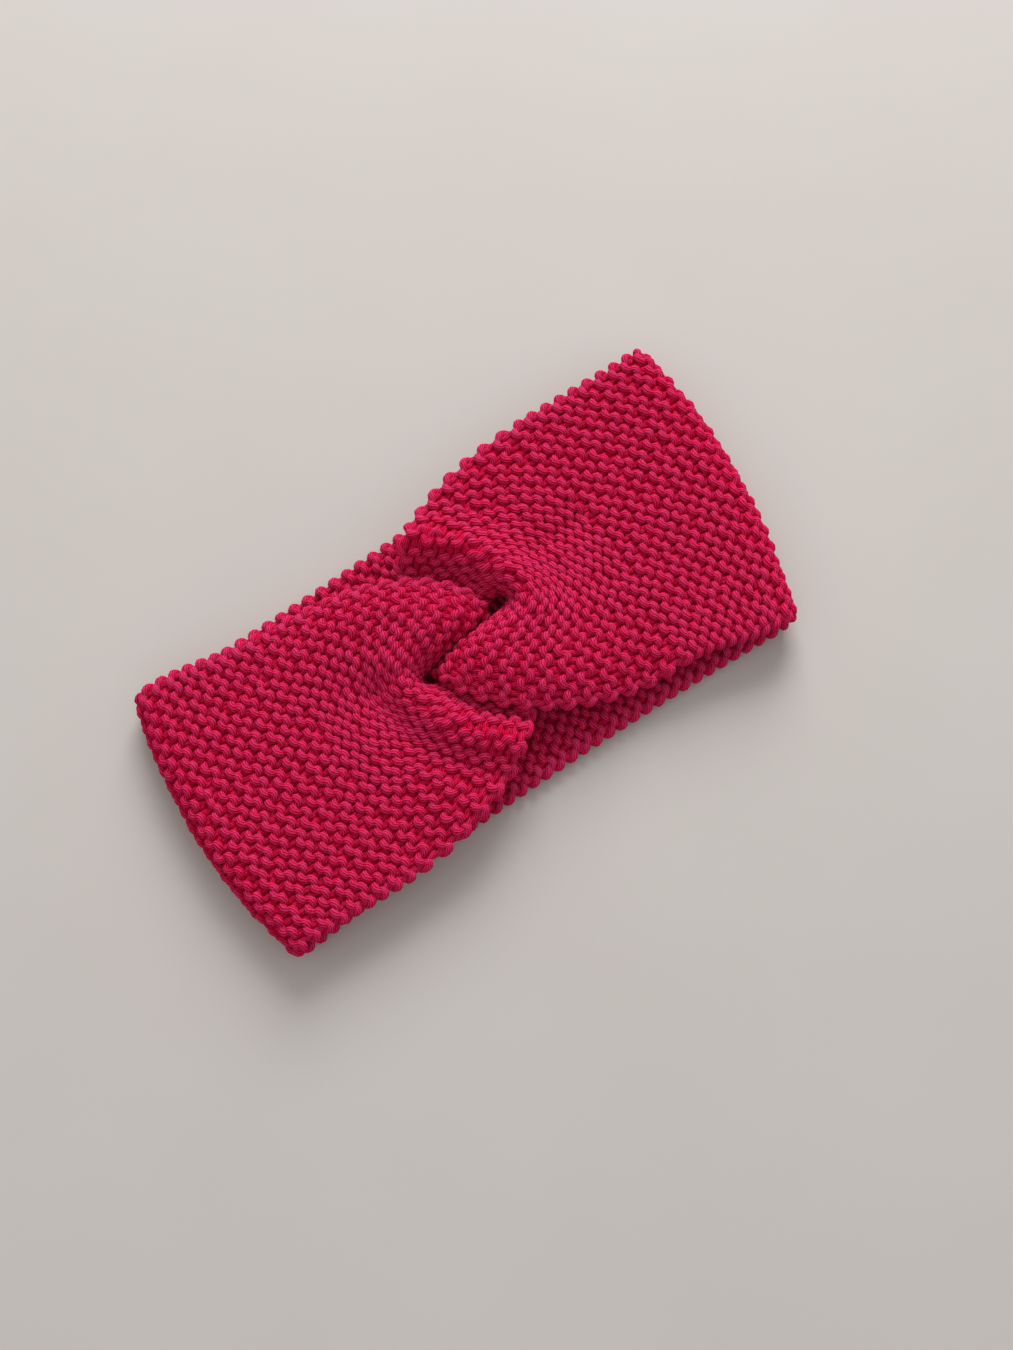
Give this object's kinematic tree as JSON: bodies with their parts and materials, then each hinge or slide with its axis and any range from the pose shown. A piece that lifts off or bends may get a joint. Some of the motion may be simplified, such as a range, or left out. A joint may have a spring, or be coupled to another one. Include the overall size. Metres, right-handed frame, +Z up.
{
  "type": "knitted headband",
  "caption": "Wide garter-stitch knitted headband lying flat: a soft loop whose two strip ends fold and hook through each other in a twist on top",
  "frame": {"origin": "on the surface the band rests on, under the middle of its outline", "axes": "+X along the band from fold to fold, +Y across it, +Z up from the surface, with the twist on top"},
  "size_m": [0.243, 0.12, 0.0258],
  "materials": {
    "yarn": "soft plied yarn in raspberry pink, knitted in garter stitch",
    "sewing_yarn": "the same raspberry yarn, sewn in close overcast stitches"
  },
  "bodies": {
    "root": {"knitted_strip": "yarn", "joining_seam": "sewing_yarn"}
  },
  "joints": []
}
